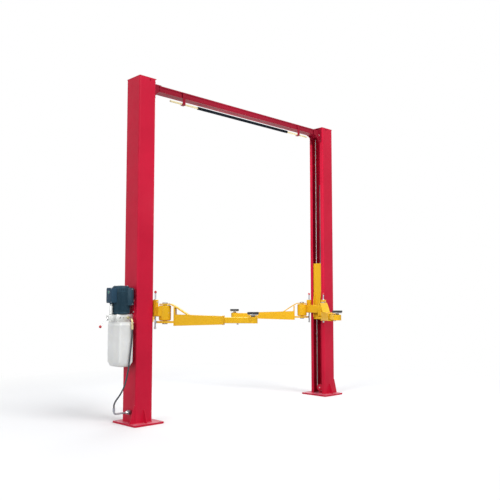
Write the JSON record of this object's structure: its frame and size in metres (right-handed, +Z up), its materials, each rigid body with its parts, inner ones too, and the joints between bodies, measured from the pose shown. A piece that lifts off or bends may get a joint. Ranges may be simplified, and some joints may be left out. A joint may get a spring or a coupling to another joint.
{
  "type": "two post car lift",
  "caption": "Two post car lift: red C-section posts joined by an overhead beam, yellow carriages with telescopic swing arms, and a hydraulic power unit.",
  "frame": {"origin": "centre of the underside of the main post, on the floor; the mount main_floor_face lies there", "axes": "+X along the crossbeam from the main post with the power unit to the far post, -Y towards the front of the lifted vehicle, +Z up"},
  "size_m": [3.6051, 1.8876, 3.6],
  "materials": {
    "red_paint": "semi-gloss",
    "yellow_paint": "semi-gloss",
    "dark_paint": "satin",
    "bar_paint": "satin",
    "motor_paint": "satin",
    "chrome_rod": "polished",
    "steel": "satin",
    "foam": "matt",
    "rubber": "matt",
    "black_plastic": "matt",
    "tank_plastic": "satin",
    "block_metal": "machined",
    "brass": "satin"
  },
  "bodies": {
    "frame": {"main_base_plate": "red_paint", "far_base_plate": "red_paint", "main_post": "red_paint", "far_post": "red_paint", "main_post_cap": "red_paint", "far_post_cap": "red_paint", "main_beam_bracket": "red_paint", "far_beam_bracket": "red_paint", "crossbeam": "red_paint", "main_bar_hanger": "red_paint", "far_bar_hanger": "red_paint", "main_top_sheaves": "steel", "far_top_sheaves": "steel", "main_bottom_sheave": "steel", "far_bottom_sheave": "steel", "equalizing_cable": "steel", "main_lifting_rod": "chrome_rod", "far_lifting_rod": "chrome_rod", "power_unit_bracket": "red_paint", "pump_block": "block_metal", "motor": "motor_paint", "switch_box": "black_plastic", "reservoir": "tank_plastic", "pressure_fitting": "brass", "pressure_hose": "rubber", "hose_connector": "steel"},
    "shutoff": {"shutoff_bar": "bar_paint", "foam_sleeve": "foam"},
    "lever": {"lowering_lever": "steel"},
    "main_lift_carriage": {"main_carriage": "yellow_paint", "main_cylinder": "dark_paint"},
    "far_lift_carriage": {"far_carriage": "yellow_paint", "far_cylinder": "dark_paint"},
    "main_front_swing": {"main_front_arm": "yellow_paint"},
    "main_rear_swing": {"main_rear_arm": "yellow_paint"},
    "far_front_swing": {"far_front_arm": "yellow_paint"},
    "far_rear_swing": {"far_rear_arm": "yellow_paint"},
    "main_front_reach": {"main_front_arm_extension": "yellow_paint", "main_front_arm_pad": "rubber"},
    "main_rear_reach": {"main_rear_arm_extension": "yellow_paint", "main_rear_arm_pad": "rubber"},
    "far_front_reach": {"far_front_arm_extension": "yellow_paint", "far_front_arm_pad": "rubber"},
    "far_rear_reach": {"far_rear_arm_extension": "yellow_paint", "far_rear_arm_pad": "rubber"},
    "main_front_lock": {"main_front_arm_lock": "steel"},
    "main_rear_lock": {"main_rear_arm_lock": "steel"},
    "far_front_lock": {"far_front_arm_lock": "steel"},
    "far_rear_lock": {"far_rear_arm_lock": "steel"}
  },
  "joints": [
    {"name": "main_lift", "type": "slide", "parent": "frame", "child": "main_lift_carriage", "axis": [0, 0, 1], "range_m": [-0.92, 0.7]},
    {"name": "far_lift", "type": "slide", "parent": "frame", "child": "far_lift_carriage", "axis": [0, 0, 1], "range_m": [-0.92, 0.7]},
    {"name": "main_front_arm_swing", "type": "hinge", "parent": "main_lift_carriage", "child": "main_front_swing", "pos_m": [0.205, -0.18, 1.126], "axis": [0, 0, 1], "range_deg": [-38, 48]},
    {"name": "main_rear_arm_swing", "type": "hinge", "parent": "main_lift_carriage", "child": "main_rear_swing", "pos_m": [0.205, 0.18, 1.126], "axis": [0, 0, -1], "range_deg": [-38, 48]},
    {"name": "far_front_arm_swing", "type": "hinge", "parent": "far_lift_carriage", "child": "far_front_swing", "pos_m": [2.771, -0.18, 1.126], "axis": [0, 0, -1], "range_deg": [-38, 48]},
    {"name": "far_rear_arm_swing", "type": "hinge", "parent": "far_lift_carriage", "child": "far_rear_swing", "pos_m": [2.771, 0.18, 1.126], "axis": [0, 0, 1], "range_deg": [-38, 48]},
    {"name": "main_front_arm_reach", "type": "slide", "parent": "main_front_swing", "child": "main_front_reach", "axis": [0.6428, -0.766, 0], "range_m": [-0.12, 0.27]},
    {"name": "main_rear_arm_reach", "type": "slide", "parent": "main_rear_swing", "child": "main_rear_reach", "axis": [0.6428, 0.766, 0], "range_m": [-0.12, 0.27]},
    {"name": "far_front_arm_reach", "type": "slide", "parent": "far_front_swing", "child": "far_front_reach", "axis": [-0.6428, -0.766, 0], "range_m": [-0.12, 0.27]},
    {"name": "far_rear_arm_reach", "type": "slide", "parent": "far_rear_swing", "child": "far_rear_reach", "axis": [-0.6428, 0.766, 0], "range_m": [-0.12, 0.27]},
    {"name": "main_front_lock_pull", "type": "slide", "parent": "main_lift_carriage", "child": "main_front_lock", "axis": [0, 0, 1], "range_m": [0, 0.03], "stiffness_N_per_m": 400, "springref_m": -0.02},
    {"name": "main_rear_lock_pull", "type": "slide", "parent": "main_lift_carriage", "child": "main_rear_lock", "axis": [0, 0, 1], "range_m": [0, 0.03], "stiffness_N_per_m": 400, "springref_m": -0.02},
    {"name": "far_front_lock_pull", "type": "slide", "parent": "far_lift_carriage", "child": "far_front_lock", "axis": [0, 0, 1], "range_m": [0, 0.03], "stiffness_N_per_m": 400, "springref_m": -0.02},
    {"name": "far_rear_lock_pull", "type": "slide", "parent": "far_lift_carriage", "child": "far_rear_lock", "axis": [0, 0, 1], "range_m": [0, 0.03], "stiffness_N_per_m": 400, "springref_m": -0.02},
    {"name": "shutoff_bar_lift", "type": "slide", "parent": "frame", "child": "shutoff", "axis": [0, 0, 1], "range_m": [0, 0.008]},
    {"name": "lowering_lever_press", "type": "hinge", "parent": "frame", "child": "lever", "pos_m": [-0.357, 0, 1.088], "axis": [0, -1, 0], "range_deg": [0, 20], "stiffness_Nm_per_rad": 2, "springref_deg": -20.05}
  ],
  "couplings": [
    {"joint": "far_lift", "follows": "main_lift", "ratio": 1}
  ]
}
